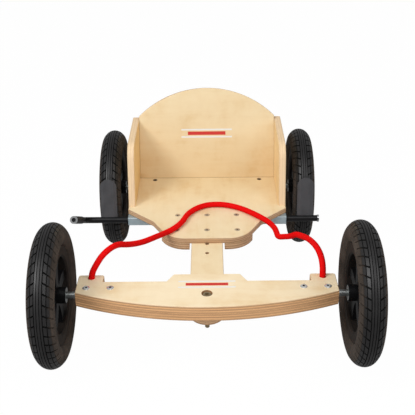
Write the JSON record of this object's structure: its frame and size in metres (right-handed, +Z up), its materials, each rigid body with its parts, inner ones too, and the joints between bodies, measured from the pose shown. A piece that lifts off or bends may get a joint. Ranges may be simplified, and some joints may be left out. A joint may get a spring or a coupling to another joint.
{
  "type": "soapbox car",
  "caption": "Wooden soapbox car with pneumatic wheels, a swinging front beam steered by a rope, a seat box and a hand lever brake on the rear tyres.",
  "frame": {"origin": "on the floor, midway between the two axles and between the left and right wheels", "axes": "-Y forward, +X to the rider's left, +Z up"},
  "size_m": [0.7536, 0.873, 0.4158],
  "materials": {
    "birch_plywood": "clear-coated birch plywood",
    "zinc_plated_steel": "zinc plated",
    "galvanised_tube": "pale grey galvanised",
    "black_enamel": "satin black",
    "black_plastic": "moulded, slightly satin",
    "silver_plugs": "silver grey",
    "black_rubber": "matt",
    "tyre_rubber": "matt black",
    "tube_rubber": "matt butyl",
    "red_rope": "plain red braid"
  },
  "bodies": {
    "chassis": {"seat_board": "birch_plywood", "left_seat_block": "birch_plywood", "right_seat_block": "birch_plywood", "spine_plank": "birch_plywood", "left_side_panel": "birch_plywood", "right_side_panel": "birch_plywood", "backrest": "birch_plywood", "rear_axle_bearer": "birch_plywood", "rear_axle": "zinc_plated_steel", "seat_bolts": "zinc_plated_steel", "seat_bolt_nuts": "zinc_plated_steel", "rear_axle_bolts": "zinc_plated_steel", "rear_axle_bolt_nuts": "zinc_plated_steel", "panel_foot_screws": "zinc_plated_steel", "panel_side_screws": "zinc_plated_steel", "backrest_foot_screws": "zinc_plated_steel", "brake_housing": "galvanised_tube", "housing_brackets": "zinc_plated_steel", "bracket_screws": "zinc_plated_steel", "brake_bushes": "black_plastic", "pivot_bolt": "zinc_plated_steel", "pivot_washers": "zinc_plated_steel", "pivot_nut": "zinc_plated_steel", "rear_wheel_spacers": "zinc_plated_steel", "rear_axle_washers": "zinc_plated_steel", "rear_axle_nuts": "zinc_plated_steel"},
    "steering": {"beam_top_board": "birch_plywood", "beam_bottom_board": "birch_plywood", "front_axle": "zinc_plated_steel", "beam_bolts": "zinc_plated_steel", "beam_bolt_nuts": "zinc_plated_steel", "front_wheel_spacers": "zinc_plated_steel", "front_axle_washers": "zinc_plated_steel", "front_axle_nuts": "zinc_plated_steel", "steering_rope": "red_rope", "rope_knots": "red_rope"},
    "brake": {"brake_shaft": "black_enamel", "brake_grip": "black_rubber", "brake_end_plugs": "silver_plugs", "left_brake_shoe": "black_enamel", "right_brake_shoe": "black_enamel", "brake_linings": "black_rubber", "brake_stop_pin": "zinc_plated_steel"},
    "front_left_wheel": {"front_left_tyre": "tyre_rubber", "front_left_inner_tube": "tube_rubber", "front_left_rim": "black_plastic", "front_left_bearings": "zinc_plated_steel"},
    "front_right_wheel": {"front_right_tyre": "tyre_rubber", "front_right_inner_tube": "tube_rubber", "front_right_rim": "black_plastic", "front_right_bearings": "zinc_plated_steel"},
    "rear_left_wheel": {"rear_left_tyre": "tyre_rubber", "rear_left_inner_tube": "tube_rubber", "rear_left_rim": "black_plastic", "rear_left_bearings": "zinc_plated_steel"},
    "rear_right_wheel": {"rear_right_tyre": "tyre_rubber", "rear_right_inner_tube": "tube_rubber", "rear_right_rim": "black_plastic", "rear_right_bearings": "zinc_plated_steel"}
  },
  "joints": [
    {"name": "steering_pivot", "type": "hinge", "parent": "chassis", "child": "steering", "pos_m": [0, -0.30053, 0.13694], "axis": [0, -0.047, 0.9989], "range_deg": [-25, 25]},
    {"name": "brake_pivot", "type": "hinge", "parent": "chassis", "child": "brake", "pos_m": [0, 0.10253, 0.14491], "axis": [-1, 0, 0], "range_deg": [0, 4.5]},
    {"name": "front_left_wheel_spin", "type": "hinge", "parent": "steering", "child": "front_left_wheel", "pos_m": [0.3325, -0.2785, 0.158], "axis": [1, 0, 0], "continuous": true},
    {"name": "front_right_wheel_spin", "type": "hinge", "parent": "steering", "child": "front_right_wheel", "pos_m": [-0.3325, -0.2785, 0.158], "axis": [1, 0, 0], "continuous": true},
    {"name": "rear_left_wheel_spin", "type": "hinge", "parent": "chassis", "child": "rear_left_wheel", "pos_m": [0.2545, 0.2785, 0.158], "axis": [1, 0, 0], "continuous": true},
    {"name": "rear_right_wheel_spin", "type": "hinge", "parent": "chassis", "child": "rear_right_wheel", "pos_m": [-0.2545, 0.2785, 0.158], "axis": [1, 0, 0], "continuous": true}
  ]
}
